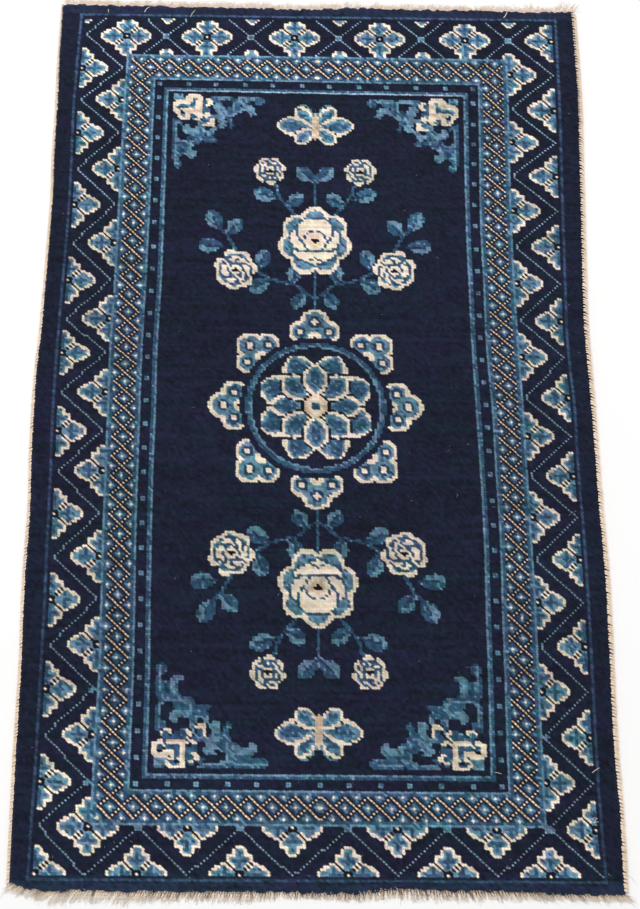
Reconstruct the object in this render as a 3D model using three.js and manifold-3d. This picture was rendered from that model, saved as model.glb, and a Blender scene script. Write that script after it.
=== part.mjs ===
// A small hand-knotted Chinese pile rug, lying flat, with its head end at +Y and its pile upwards.
// Sizes are in millimetres and +Z is up. The underside of every piece lies on z = 0.
import * as THREE from 'three';
import { mergeVertices } from 'three/addons/utils/BufferGeometryUtils.js';
import Module from 'manifold-3d';

const wasm = await Module();
wasm.setup();

// Driving dimensions
const PILE_THICKNESS = 8; // knotted cloth and pile together
const SHOULDER_DROP = 2.4; // the pile rounds over at its rim from this far below the top
const SHOULDER_INSET = 1.8;
const RIM_STEP = 26; // length of one straight piece of rim
const SEAM_GAP = 0.3; // between the pieces as they lie

const WEB_DEPTH = 4.2; // flat woven strip beyond the pile, which holds the warp ends
const WEB_THICKNESS = 1.9;
const STRANDS_PER_END = 138;
const STRAND_WIDTH = 2.3;
const STRAND_HEIGHT = 1.5;
const STRAND_ROOT = 1.6; // how far a strand is sunk in the web
const STRAND_TOP_SHARE = 0.6; // width of a strand's top against its foot
const STRAND_BEND = 1.2; // how far out of the web a strand starts to lean
const STRAND_TIP_SHARE = 0.45;
const CORNER_MARGIN = 2.5; // web left bare at each corner

// The rug's sides, measured across at heights along the rug. x is in the rug's own measuring frame.
const SIDE_ROWS = [
  { y: 622, left: -374.0, right: 374.5 },
  { y: 530, left: -374.6, right: 376.2 },
  { y: 455, left: -373.4, right: 376.8 },
  { y: 380, left: -373.8, right: 374.4 },
  { y: 310, left: -372.6, right: 372.4 },
  { y: 215, left: -374.2, right: 369.6 },
  { y: 120, left: -376.6, right: 367.4 },
  { y: 40, left: -380.4, right: 369.6 },
  { y: -60, left: -380.2, right: 371.8 },
  { y: -135, left: -377.8, right: 373.0 },
  { y: -235, left: -379.0, right: 376.2 },
  { y: -340, left: -377.0, right: 375.6 },
  { y: -440, left: -377.2, right: 374.6 },
  { y: -537, left: -376.6, right: 376.8 },
  { y: -623, left: -375.6, right: 376.8 },
];

// The two ends of the pile, measured along at widths across the rug.
const HEAD_ROWS = [
  { x: -376, y: 622.4 },
  { x: -300, y: 621.0 },
  { x: -190, y: 617.8 },
  { x: -100, y: 614.6 },
  { x: -20, y: 611.6 },
  { x: 45, y: 613.8 },
  { x: 150, y: 611.4 },
  { x: 250, y: 609.8 },
  { x: 312, y: 607.6 },
  { x: 378, y: 608.2 },
];
const FOOT_ROWS = [
  { x: -378, y: -611.5 },
  { x: -355, y: -618.6 },
  { x: -325, y: -622.8 },
  { x: -290, y: -620.6 },
  { x: -190, y: -621.6 },
  { x: -60, y: -620.8 },
  { x: 60, y: -623.4 },
  { x: 160, y: -622.4 },
  { x: 240, y: -620.2 },
  { x: 300, y: -623.2 },
  { x: 379, y: -622.6 },
];

// Overcast edges: a cord of cotton stitches worked over each side
const SELVEDGES = [
  { name: 'selvedge_left', side: 'left', width: 3.4, height: 4.2, wobble: 0.45, seed: 5 },
  { name: 'selvedge_right', side: 'right', width: 5.4, height: 5.0, wobble: 0.35, seed: 9 },
];

// How the warp ends lie: lean is in degrees from straight out, positive towards +X, and reach is their length.
const FRINGES = [
  {
    name: 'fringe_head', end: 'head', seed: 21,
    lay: [
      { share: 0, lean: -16, reach: 8.5 },
      { share: 0.1, lean: 10, reach: 8.0 },
      { share: 0.3, lean: 30, reach: 9.0 },
      { share: 0.45, lean: 22, reach: 9.5 },
      { share: 0.62, lean: 34, reach: 10.5 },
      { share: 0.8, lean: 14, reach: 9.5 },
      { share: 0.93, lean: 26, reach: 11.5 },
      { share: 1, lean: 38, reach: 12.5 },
    ],
  },
  {
    name: 'fringe_foot', end: 'foot', seed: 33,
    lay: [
      { share: 0, lean: -34, reach: 12.0 },
      { share: 0.08, lean: -22, reach: 9.5 },
      { share: 0.22, lean: -8, reach: 8.0 },
      { share: 0.36, lean: -12, reach: 9.0 },
      { share: 0.5, lean: 6, reach: 10.0 },
      { share: 0.66, lean: -6, reach: 8.0 },
      { share: 0.8, lean: 14, reach: 9.0 },
      { share: 0.92, lean: 26, reach: 9.5 },
      { share: 1, lean: 36, reach: 13.0 },
    ],
  },
];

const COLOURS = { pile: 0x1c2340, cotton: 0xc9b69a, edge: 0xd8c6aa };

// A smooth curve through a table's rows, read at any place along its key column.
function readTable(rows, keyColumn, column, key) {
  const upwards = rows[0][keyColumn] < rows[rows.length - 1][keyColumn];
  const ordered = upwards ? rows : [...rows].reverse();
  const last = ordered.length - 1;
  const held = Math.min(Math.max(key, ordered[0][keyColumn]), ordered[last][keyColumn]);
  let i = 0;
  while (i < last - 1 && held > ordered[i + 1][keyColumn]) i += 1;
  const before = ordered[Math.max(i - 1, 0)];
  const after = ordered[Math.min(i + 2, last)];
  const [a, b] = [ordered[i], ordered[i + 1]];
  const span = b[keyColumn] - a[keyColumn];
  const t = (held - a[keyColumn]) / span;
  const slopeA = ((b[column] - before[column]) / (b[keyColumn] - before[keyColumn])) * span;
  const slopeB = ((after[column] - a[column]) / (after[keyColumn] - a[keyColumn])) * span;
  const t2 = t * t;
  const t3 = t2 * t;
  return (2 * t3 - 3 * t2 + 1) * a[column] + (t3 - 2 * t2 + t) * slopeA
    + (3 * t2 - 2 * t3) * b[column] + (t3 - t2) * slopeB;
}

const sideAt = (side, y) => readTable(SIDE_ROWS, 'y', side, y);
const endAt = (end, x) => readTable(end === 'head' ? HEAD_ROWS : FOOT_ROWS, 'x', 'y', x);

// A repeatable random number from -1 to 1.
function makeRandom(seed) {
  let state = seed * 7919 + 17;
  return () => {
    state = (state * 48271) % 2147483647;
    return (state / 2147483647) * 2 - 1;
  };
}

// Where a side meets an end: the corner of the pile.
function cornerOf(side, end) {
  let y = end === 'head' ? SIDE_ROWS[0].y : SIDE_ROWS[SIDE_ROWS.length - 1].y;
  for (let pass = 0; pass < 4; pass += 1) y = endAt(end, sideAt(side, y));
  return new THREE.Vector2(sideAt(side, y), y);
}

// Points from one corner to the next, evenly apart, on the curve of the table.
function rimPoints(from, to, alongX, curve) {
  const span = alongX ? to.x - from.x : to.y - from.y;
  const steps = Math.max(2, Math.round(Math.abs(span) / RIM_STEP));
  return Array.from({ length: steps }, (_, i) => {
    const place = (alongX ? from.x : from.y) + (span * i) / steps;
    return alongX ? new THREE.Vector2(place, curve(place)) : new THREE.Vector2(curve(place), place);
  });
}

// The pile's outline, anticlockwise seen from above.
function pileOutline() {
  const footLeft = cornerOf('left', 'foot');
  const footRight = cornerOf('right', 'foot');
  const headRight = cornerOf('right', 'head');
  const headLeft = cornerOf('left', 'head');
  return [
    ...rimPoints(footLeft, footRight, true, (x) => endAt('foot', x)),
    ...rimPoints(footRight, headRight, false, (y) => sideAt('right', y)),
    ...rimPoints(headRight, headLeft, true, (x) => endAt('head', x)),
    ...rimPoints(headLeft, footLeft, false, (y) => sideAt('left', y)),
  ];
}

// The same outline drawn in by a distance.
function drawnIn(outline, distance) {
  return outline.map((point, i) => {
    const next = outline[(i + 1) % outline.length];
    const previous = outline[(i + outline.length - 1) % outline.length];
    const one = next.clone().sub(point).normalize();
    const other = point.clone().sub(previous).normalize();
    const inward = new THREE.Vector2(-one.y - other.y, one.x + other.x);
    const mitre = inward.lengthSq() / 2;
    return point.clone().addScaledVector(inward, distance / mitre);
  });
}

function geometryOf(positions, triangles) {
  const geometry = new THREE.BufferGeometry();
  geometry.setAttribute('position', new THREE.Float32BufferAttribute(positions, 3));
  geometry.setIndex(triangles);
  geometry.computeVertexNormals();
  return geometry;
}

// A closed solid from rings of points, each ring with as many points, stacked from the first to the last.
function stackRings(rings, capTriangles) {
  const count = rings[0].length;
  const positions = rings.flatMap((ring) => ring.flatMap((p) => [p.x, p.y, p.z]));
  const triangles = [];
  for (let k = 0; k < rings.length - 1; k += 1) {
    for (let i = 0; i < count; i += 1) {
      const a = k * count + i;
      const b = k * count + ((i + 1) % count);
      triangles.push(a, b, b + count, a, b + count, a + count);
    }
  }
  const top = (rings.length - 1) * count;
  for (const [a, b, c] of capTriangles) {
    triangles.push(a, c, b, top + a, top + b, top + c);
  }
  return geometryOf(positions, triangles);
}

function knottedCloth() {
  const outline = pileOutline();
  const shoulder = drawnIn(outline, SHOULDER_INSET);
  const at = (points, z) => points.map((p) => new THREE.Vector3(p.x, p.y, z));
  const rings = [
    at(outline, 0),
    at(outline, PILE_THICKNESS - SHOULDER_DROP),
    at(shoulder, PILE_THICKNESS),
  ];
  return stackRings(rings, THREE.ShapeUtils.triangulateShape(outline, []));
}

// An overcast edge, swept beside the pile from foot to head. The stitches' flattened round is six-sided.
function overcastEdge({ side, width, height, wobble, seed }) {
  const outward = side === 'left' ? -1 : 1;
  const random = makeRandom(seed);
  const foot = cornerOf(side, 'foot').y;
  const head = cornerOf(side, 'head').y;
  const steps = Math.round((head - foot) / RIM_STEP);
  const section = [
    { across: 0, up: 0 },
    { across: 0.82, up: 0 },
    { across: 1, up: 0.42 },
    { across: 0.78, up: 0.9 },
    { across: 0.36, up: 1 },
    { across: 0, up: 0.8 },
  ];
  if (outward < 0) section.reverse();
  const rings = Array.from({ length: steps + 1 }, (_, i) => {
    const y = foot + ((head - foot) * i) / steps;
    const inner = sideAt(side, y) + outward * SEAM_GAP;
    const swell = 1 + (wobble * random()) / width;
    return section.map(({ across, up }) => new THREE.Vector3(
      inner + outward * across * width * swell,
      y,
      up * height * (up > 0.5 ? swell : 1),
    ));
  });
  const flat = section.map(({ across, up }) => new THREE.Vector2(outward * across, up));
  const cap = THREE.ShapeUtils.triangulateShape(flat, []);
  return stackRings(rings.reverse(), cap);
}

function toManifold(geometry) {
  geometry.deleteAttribute('normal');
  geometry.deleteAttribute('uv');
  const merged = mergeVertices(geometry);
  return new wasm.Manifold(new wasm.Mesh({
    numProp: 3,
    vertProperties: merged.attributes.position.array,
    triVerts: new Uint32Array(merged.index.array),
  }));
}

function fromManifold(solid) {
  const mesh = solid.getMesh();
  return geometryOf(Array.from(mesh.vertProperties), Array.from(mesh.triVerts));
}

// The woven web beyond the pile, following its end, from one corner to the other.
function webStrip(end, from, to) {
  const outward = end === 'head' ? 1 : -1;
  const steps = Math.round((to - from) / RIM_STEP);
  const places = Array.from({ length: steps + 1 }, (_, i) => from + ((to - from) * i) / steps);
  const near = places.map((x) => new THREE.Vector2(x, endAt(end, x) + outward * SEAM_GAP));
  const far = near.map((p) => new THREE.Vector2(p.x, p.y + outward * WEB_DEPTH));
  const outline = [...near, ...far.reverse()];
  if (THREE.ShapeUtils.isClockWise(outline)) outline.reverse();
  return new THREE.ExtrudeGeometry(new THREE.Shape(outline), {
    depth: WEB_THICKNESS, bevelEnabled: false, curveSegments: 1,
  });
}

// One warp end: a four-sided strand that lies level on the floor, straight out of the web and then leaning.
function warpEnd(root, outward, lean, reach, width) {
  const out = new THREE.Vector2(0, outward);
  const leaning = new THREE.Vector2(Math.sin(lean), Math.cos(lean) * outward);
  const bend = root.clone().addScaledVector(out, STRAND_ROOT + STRAND_BEND);
  const tip = bend.clone().addScaledVector(leaning, reach - STRAND_BEND);
  const stations = [
    { place: root, along: out, share: 1 },
    { place: bend, along: out.clone().add(leaning).normalize(), share: 1 },
    { place: tip, along: leaning, share: STRAND_TIP_SHARE },
  ];
  const rings = stations.map(({ place, along, share }) => {
    const across = new THREE.Vector2(along.y, -along.x).multiplyScalar((width * share) / 2);
    const tall = STRAND_HEIGHT * (0.35 + 0.65 * share);
    const corner = (side, z) => new THREE.Vector3(place.x + across.x * side, place.y + across.y * side, z);
    return [
      corner(-1, 0),
      corner(1, 0),
      corner(STRAND_TOP_SHARE, tall),
      corner(-STRAND_TOP_SHARE, tall),
    ];
  });
  return stackRings(rings.reverse(), [[0, 1, 2], [0, 2, 3]]);
}

function fringe({ end, lay, seed }) {
  const outward = end === 'head' ? 1 : -1;
  const random = makeRandom(seed);
  const from = cornerOf('left', end).x;
  const to = cornerOf('right', end).x;
  const pitch = (to - from - 2 * CORNER_MARGIN) / (STRANDS_PER_END - 1);
  let solid = toManifold(webStrip(end, from, to));
  for (let i = 0; i < STRANDS_PER_END; i += 1) {
    const share = i / (STRANDS_PER_END - 1);
    const x = from + CORNER_MARGIN + pitch * i;
    const rootOut = SEAM_GAP + WEB_DEPTH - STRAND_ROOT;
    const root = new THREE.Vector2(x, endAt(end, x) + outward * rootOut);
    const lean = readTable(lay, 'share', 'lean', share) + 4 * random();
    const reach = readTable(lay, 'share', 'reach', share) * (1 + 0.16 * random());
    const width = STRAND_WIDTH * (1 + 0.2 * random());
    solid = solid.add(toManifold(warpEnd(root, outward, THREE.MathUtils.degToRad(lean), reach, width)));
  }
  return fromManifold(solid);
}

function finish(name, geometry, colour, roughness) {
  const material = new THREE.MeshStandardMaterial({ color: colour, roughness, metalness: 0 });
  const mesh = new THREE.Mesh(geometry, material);
  mesh.name = name;
  return mesh;
}

const rug = new THREE.Group();
rug.add(finish('knotted_pile', knottedCloth(), COLOURS.pile, 0.95));
for (const edge of SELVEDGES) rug.add(finish(edge.name, overcastEdge(edge), COLOURS.edge, 0.9));
for (const row of FRINGES) rug.add(finish(row.name, fringe(row), COLOURS.cotton, 0.9));

// The origin is the middle of the underside.
const extent = new THREE.Box3().setFromObject(rug, true);
rug.position.set(-(extent.min.x + extent.max.x) / 2, -(extent.min.y + extent.max.y) / 2, 0);

export default rug;
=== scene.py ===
import math
import bpy
import numpy as np
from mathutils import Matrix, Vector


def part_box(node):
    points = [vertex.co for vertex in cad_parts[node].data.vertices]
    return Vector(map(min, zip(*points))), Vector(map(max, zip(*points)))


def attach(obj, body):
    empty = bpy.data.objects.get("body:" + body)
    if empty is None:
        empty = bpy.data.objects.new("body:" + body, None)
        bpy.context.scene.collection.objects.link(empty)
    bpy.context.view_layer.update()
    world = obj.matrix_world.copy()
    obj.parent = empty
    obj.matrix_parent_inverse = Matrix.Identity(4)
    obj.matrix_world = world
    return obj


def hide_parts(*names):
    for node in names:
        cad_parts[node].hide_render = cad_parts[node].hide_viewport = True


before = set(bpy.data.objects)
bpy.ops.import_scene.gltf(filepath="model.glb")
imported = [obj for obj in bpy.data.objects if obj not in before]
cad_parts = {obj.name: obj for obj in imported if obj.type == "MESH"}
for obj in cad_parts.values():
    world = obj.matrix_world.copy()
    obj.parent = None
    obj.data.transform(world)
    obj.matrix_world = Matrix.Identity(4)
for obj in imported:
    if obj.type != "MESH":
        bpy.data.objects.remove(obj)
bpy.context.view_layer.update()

millimetre = 0.001


def deselectAll():
    bpy.ops.object.select_all(action="DESELECT")


def selectOnly(piece):
    deselectAll()
    piece.select_set(True)
    bpy.context.view_layer.objects.active = piece


def faceOutwards(piece):
    selectOnly(piece)
    bpy.ops.object.mode_set(mode="EDIT")
    bpy.ops.mesh.select_all(action="SELECT")
    bpy.ops.mesh.normals_make_consistent(inside=False)
    bpy.ops.object.mode_set(mode="OBJECT")


def linear(red, green, blue, level=1.0):
    parts = [value / 255 for value in (red, green, blue)]
    parts = [p / 12.92 if p <= 0.04045 else ((p + 0.055) / 1.055) ** 2.4 for p in parts]
    return tuple(level * p for p in parts) + (1.0,)


# The lowest and highest corner of a solid, in mm.
def corners(name):
    return [np.array(corner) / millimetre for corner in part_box(name)]


# The camera stands behind the foot end of the rug and looks down.
cameraPlan = {
    "lens": 74.98,
    "sensor": 36.0,
    "place": (0.0053, -0.537, 1.7255),
    "tilt": 15.4,  # degrees up from straight down
}
deselectAll()
bpy.ops.object.camera_add(location=cameraPlan["place"], rotation=(math.radians(cameraPlan["tilt"]), 0, 0))
camera = bpy.context.object
camera.data.lens = cameraPlan["lens"]
camera.data.sensor_fit = "HORIZONTAL"
camera.data.sensor_width = cameraPlan["sensor"]
bpy.context.scene.camera = camera
bpy.context.scene.view_settings.view_transform = "Standard"
print("camera placed")


# The knot chart. Each letter is a yarn: . navy ground, G guard blue, K black, D deep blue,
# M mid blue, L light blue, C cream, T tan and Z the pale zigzags. Row 0 is at the head end.
chartPlan = {
    "yarns": ".GKDMLCTZ",
    "columns": 209,
    "rows": 378,
    "guard": (6, 202, 4, 373),  # first and last column, first and last row
    "outer": (26, 182, 25, 353),
    "inner": (38, 170, 37, 341),
    "field": (44, 164, 43, 335),
    "strayLight": 0.08,  # share of light blue knots that are mid blue
    "strayMid": 0.12,
    "straySeed": 17,
    "latticeStart": (32, 35),  # column and row of the middle of one diamond
    "latticeRepeat": 8,
    "latticeStretch": 0.99306,
    "latticeCell": "CLDKT",  # from the middle of a diamond to the crossing of its edges
    "latticeSizes": {"C": 2.8, "L": 1.8, "D": 1.3, "K": 0.65, "T": 0.67},  # of the knots there
    "endBandSizes": {"C": 1.25, "L": 1.35, "K": 0.8},  # on top of that, at the head and foot
    "dotColumns": (40, 167),
    "dotRows": [39, 46] + [int(56.5 + 10.09 * k) for k in range(28)],
    "endDots": ((39, 12, 11.55), (338, 13, 10.6)),  # row, how many, columns from one to the next
    "crownColumns": (25, 59, 95, 130, 165),  # whole flowers of the head border
    "crossColumns": (42, 77, 113, 147, 183),  # crosses between them
    "leftOuterRows": (32, 65, 99, 133, 166, 201, 235, 269, 303, 338),
    "leftInnerRows": (48, 82, 116, 150, 184, 217, 252, 286, 320),
    "rightOuterRows": (15, 49, 82, 116, 150, 184, 218, 252, 286, 320, 354),
    "rightInnerRows": (32, 65, 99, 133, 166, 201, 235, 269, 303, 337),
    "hangingColumns": (25, 59, 95, 131, 165),
    "standingColumns": (42, 77, 114, 148, 183),
    "flowerColumns": (8, 25, 183, 200),  # of the side borders' flowers, from the left
    "flowerRows": (15, 354, 371),  # of the crowns, the hanging and the standing flowers
    "petalRows": (6, 22),  # of the petals above and below a cross
    "petalLeft": 2,  # columns from their left edge to its middle
    "cornerPetal": (8, 7),  # column and row
    "turnColumns": (8.5, 24.5, 183.5, 200),  # where the side zigzags turn
    "turnRows": (354.4, 371.3),  # where the foot's zigzag turns
    "turnShift": 0.4,  # rows from a left flower's middle to the turn beside it
    "leftEnds": ((16.5, 5.5), (8.5, 14.5), (8.5, 353.8), (24.5, 371.3)),  # turns beyond the flowers
    "rightEnds": ((191.5, 6.5), (201, 371)),
    "crossLine": ((-8.5, 6), (0, 14.6), (9, 24)),  # columns from a cross's middle, and rows
    "lastCrossLine": ((183, 15), (173.5, 24.3)),
    "crossedRows": (300, 360),  # inner turns between these rows are crossed too
    "spandrelGap": 2,
    "blackDotSize": 1.5,
}
flowerQuarter = """
CKLMMMMMLLC KKLLLMLLLLC LLKCLMLLCC MLCKCMLCC MLLCKCC
MMMLC MLLLC MLCCC MLC LLC CC
""".split()
upperPetal = "CLLLLC .CLLC. ..CC..".split()
lowerPetal = ".CLLC. CCLLCC CLLLLC".split()
cornerPetal = "LLC CC.".split()
headSpandrel = """
.LLLL..CCCCC
.LLLL.CCCCCCC...MMMLLLLLL..LLLLLLLLMM
.LLLLLCCCMLCC.CCMMMLLLLLLLMLLLLLLLMMMM
..CCCCCCCMCCTMMCCMMM.....LMLMMMM..MMMM
.CCCCCCCLMCCTMMCC.LLL....LMMMMM...MMM
.CCLMMLLMMCCTMCC.LLLL....LMM.LLLL
.CLMMMMMLMCCTMM..LLLLL.MMLMMLLLLLL
.CCMCCCCCTTTTMMM..LLLLMMMLMMLLLLLL
.CCC.CTTTTTTTMMM..LLLLMMMLMLL..LLL
..CC..CTTCCCCLCC...LLMMMLLL.....LLL
...CLLCCMMCCCCCCLLLLLLLLLL......L
...CCLCCMMMCC.CMMLLLLLMMM
.M..CCCC.MCC.MMLCC.LLL.MM
.MMM.......LLMMMCC.LLLLMM
.MLMM......LMLLCCC..LLL.M
.ML.M.LL...LLCCCCC.LLLL.MM
.ML..LLL..LLLM...LLLLL..M
.ML..LLLLLLLML..LLL
.ML..LLLLLLLMLLLLL
.ML...LLLLLLMMLLLL
.ML.....MMMLMM.LL
.ML....DDMMLLMMMMM
.MLL...MDMMMLMMMMMM
.MLLLLLMLMMMM.DDMMD
.DMMMDDMLMMM
.MLMMMMMLL
.MLMMMMLL
.MLMDDMLL
.MLMDDMLLLL
.MLLMMLLLLL
.MLMM..LLLL
.MLM....LL
.MLM
..LMM
..LLM
..MMM
...M
""".split()
footSpandrel = """
..DD
.MLMM
.MLMM
.MLMM
..LM
.ML....LLLL
.ML...LLLLL
.MLMMMLLL
.MLMDMLLL
.MLMDMLLL
.MLMDDLLL
.MMMDDMLL
.MMLMMMLLM
..MMMMMMMMMMMM
..MMLLLLLLLLLMM
..LL...MMMMMLLM
.ML....MMMMMMLMMMMMMM
.ML.....MMMMMLMMMMMM
.ML....LLLLLLLMMMMM
.ML...LLLLLLLMDDMMMM
.ML...LLLLLLLMMLLLLL
.ML...LLL....MML..LL
.MLMM..LL....LML..LL.LLL..M
.MLMM........LM.CCC.LLLL..MM
.MLMM........LMCCCC.LLLL.MMM
.MM.CCC...MMC.L.MMC..LLL.MM
...CMMC.MMMMCCL.MMC..LLLMMM
...LMM.MMMMMMC.MDMC.LLMMMMM
....MMMMMMMMC.MMMMLLLLLLLMMM
..CCMTTTTTTTMCCMMMLLLLLLMMMM
CCCCMCCCCCCTC.CC...LLLMMMMLMMM....LL
CCMMCMMMMMCT..MM...LLLLMMMLMLLL...LLL
CCMMKMMMMMCTMMMM..LLLLLMMMLMMLLLLLLLL
CCKKCCCCMMCTMMMM..LLLL..MMLMMLLLLLLLL
CCCCCCCCMMCTMMCC...LLLL...LMMLLLLLLL
.CCCCC.CMMCTMMMCC.........LMMMMMMMM
.LLLLLCCMCCTMMMCCMM.......LMMMMMMMMMMMMM
.LLLLCMMK.CCMCC.MM......LLLLLMMMMMMMMMMMM
.LLLLCCMMMCC.MM..LLLLLLLLLMMMLLLLLLLLLLMM
.LLLL.CCCCCC....LLLMMMMMMMMM.MMMMMMMMMMM
""".split()
chartShape = (chartPlan["rows"], chartPlan["columns"])
rowOf, columnOf = np.indices(chartShape)
knots = np.zeros(chartShape, int)
knotSizes = np.ones(chartShape)
diamondMiddles = np.zeros(chartShape, bool)


def tie(where, yarn):
    knots[where] = chartPlan["yarns"].index(yarn)


def tiedIn(yarns):
    return np.isin(knots, [chartPlan["yarns"].index(yarn) for yarn in yarns])


# Knots inside a frame that is drawn in by so many knots.
def insideFrame(name, inwards=0):
    left, right, top, bottom = chartPlan[name]
    between = (columnOf > left + inwards) & (columnOf < right - inwards)
    return between & (rowOf > top + inwards) & (rowOf < bottom - inwards)


def tieFrame(name, inwards, yarn):
    tie(insideFrame(name, inwards - 1) & ~insideFrame(name, inwards), yarn)


def tieStamp(lines, column, row, stepColumn=1):
    for down, line in enumerate(lines):
        for over, yarn in enumerate(line):
            if yarn != ".":
                tie((row + down, column + stepColumn * over), yarn)


# The sides are those that the flower has: left, right, up and down.
def tieFlower(column, row, sides="lrud", keep=True):
    kept = np.broadcast_to(keep, chartShape)
    turns = [(side, end) for side in (("l", -1), ("r", 1)) for end in (("u", -1), ("d", 1))]
    for down, line in enumerate(flowerQuarter):
        for over, yarn in enumerate(line):
            for (side, left), (end, up) in turns:
                at = (row + up * down, column + left * over)
                wanted = (side in sides or not over) and (end in sides or not down)
                inside = at[0] in range(chartShape[0]) and at[1] in range(chartShape[1])
                if wanted and inside and kept[at]:
                    tie(at, yarn)


def tieLine(points):
    for start, end in zip(points[:-1], points[1:]):
        (columnA, rowA), (columnB, rowB) = sorted((start, end), key=lambda point: point[1])
        for row in range(math.ceil(rowA), math.floor(rowB) + 1):
            share = (row - rowA) / (rowB - rowA)
            tie((row, round(columnA + (columnB - columnA) * share)), "Z")
        left, right = sorted((columnA, columnB))
        if right - left > rowB - rowA:  # a line this flat would have gaps
            for column in range(math.ceil(left), math.floor(right) + 1):
                share = (column - columnA) / (columnB - columnA)
                tie((round(rowA + (rowB - rowA) * share), column), "Z")


def tieCross(column, row):
    column, row = round(column), round(row)
    tie((row, slice(column - 1, column + 2)), "L")
    tie((slice(row - 1, row + 2), column), "L")


def tieFrames():
    for name, inwards, yarn in (
        ("guard", 0, "G"), ("outer", 0, "L"), ("outer", 1, "M"), ("inner", -1, "M"),
        ("inner", 0, "L"), ("field", -1, "M"), ("field", 0, "L"),
    ):
        tieFrame(name, inwards, yarn)
    left, right, top = chartPlan["field"][:3]
    tie((top, slice(left, right + 1)), "Z")  # the line is paler at the head


def tieLattice():
    plan = chartPlan
    (startColumn, startRow), repeat = plan["latticeStart"], plan["latticeRepeat"]
    over = np.round((columnOf - startColumn) * plan["latticeStretch"]).astype(int) % repeat
    down = (rowOf - startRow) % repeat
    over, down = np.minimum(over, repeat - over), np.minimum(down, repeat - down)
    steps = np.minimum(over + down, repeat - over - down)
    band = insideFrame("outer", 1) & ~insideFrame("inner", -2)
    top, bottom = plan["inner"][2:]
    for step, yarn in enumerate(plan["latticeCell"]):
        here = band & (steps == step)
        tie(here, yarn)
        knotSizes[here] = plan["latticeSizes"][yarn]
        knotSizes[here & ((rowOf < top) | (rowOf > bottom))] *= plan["endBandSizes"].get(yarn, 1)
    diamondMiddles[band & (steps == 0)] = True


def tieDots():
    places = [(row, column) for row in chartPlan["dotRows"] for column in chartPlan["dotColumns"]]
    for row, count, pitch in chartPlan["endDots"]:
        places += [(row, round(chartPlan["dotColumns"][0] + pitch * k)) for k in range(count)]
    for row, column in places:
        tie((slice(row, row + 2), slice(column, column + 2)), "L")


def tieZigzags():
    plan = chartPlan
    outerLeft, innerLeft, innerRight, outerRight = plan["turnColumns"]
    left = [(innerLeft, row - plan["turnShift"]) for row in plan["leftOuterRows"]]
    left += [(outerLeft, row + plan["turnShift"]) for row in plan["leftInnerRows"]]
    right = [(innerRight, row) for row in plan["rightOuterRows"]]
    right += [(outerRight, row) for row in plan["rightInnerRows"]]
    left += plan["leftEnds"]
    right += plan["rightEnds"]
    foot = [(column, plan["turnRows"][1]) for column in plan["hangingColumns"]]
    foot += [(column, plan["turnRows"][0]) for column in plan["standingColumns"]]
    tieLine(sorted(left, key=lambda point: point[1]))
    tieLine(sorted(right, key=lambda point: point[1]))
    tieLine(sorted(foot))
    for column in plan["crossColumns"]:
        for lean in (-1, 1):
            if lean > 0 or column < plan["crossColumns"][-1]:
                tieLine([(column + lean * over, row) for over, row in plan["crossLine"]])
    tieLine(plan["lastCrossLine"])
    first, last = plan["crossedRows"]
    for column, row in left + right + foot:
        if innerLeft <= column <= innerRight and first < row < last:
            tieCross(column, row)
    for column in plan["crossColumns"]:
        tieCross(column, plan["crossLine"][1][1])


def tieBorderFlowers():
    plan = chartPlan
    left, right, top, bottom = plan["outer"]
    outerLeft, innerLeft, innerRight, outerRight = plan["flowerColumns"]
    head, hanging, standing = plan["flowerRows"]
    belowGuard = rowOf >= plan["guard"][2] + 3
    for column in plan["crownColumns"]:
        tieFlower(column, head, keep=belowGuard & ((rowOf < top) | (columnOf < left)))
    for row in plan["leftOuterRows"]:
        tieFlower(outerLeft, row, "rud")
    tieFlower(outerLeft, standing, "ru")
    for row in plan["leftInnerRows"]:
        tieFlower(innerLeft, row, "lud", keep=columnOf < left)
    tieFlower(innerLeft, hanging, keep=(columnOf < left) | (rowOf > bottom))
    for row in plan["rightOuterRows"]:
        tieFlower(outerRight, row, "lud", keep=belowGuard)
    for row in plan["rightInnerRows"]:
        tieFlower(innerRight, row, keep=(columnOf > right) | (rowOf < top))
    for column in plan["hangingColumns"][1:]:
        tieFlower(column, hanging, "lrd")
    for column in plan["standingColumns"]:
        tieFlower(column, standing, "lru")
    above, below = plan["petalRows"]
    for column in plan["crossColumns"]:
        tieStamp(upperPetal, column - plan["petalLeft"], above)
        if column < plan["crossColumns"][-1]:
            tieStamp(lowerPetal, column - plan["petalLeft"], below)
    tieStamp(cornerPetal, *plan["cornerPetal"])


def tieSpandrels():
    left, right, top, bottom = chartPlan["field"]
    gap = chartPlan["spandrelGap"]
    for lines, row in ((headSpandrel, top + gap), (footSpandrel, bottom - gap - len(footSpandrel))):
        tieStamp(lines, left + gap, row)
        tieStamp(lines, right - gap, row, -1)


# Black knots that step up to the right lie apart, as round dots.
def swellDots():
    black = tiedIn("K")
    around = np.pad(black, 1)
    steps = around[:-2, :-2] | around[2:, 2:]
    knotSizes[black & ~steps & (knotSizes == 1)] = chartPlan["blackDotSize"]


# Light and mid blue were dyed unevenly, so single knots of one stand in the other.
def tieStrayBlues():
    light, mid = tiedIn("L"), tiedIn("M")
    chance = np.random.default_rng(chartPlan["straySeed"]).random(chartShape)
    tie(light & (chance < chartPlan["strayLight"]), "M")
    tie(mid & (chance < chartPlan["strayMid"]), "L")


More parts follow.
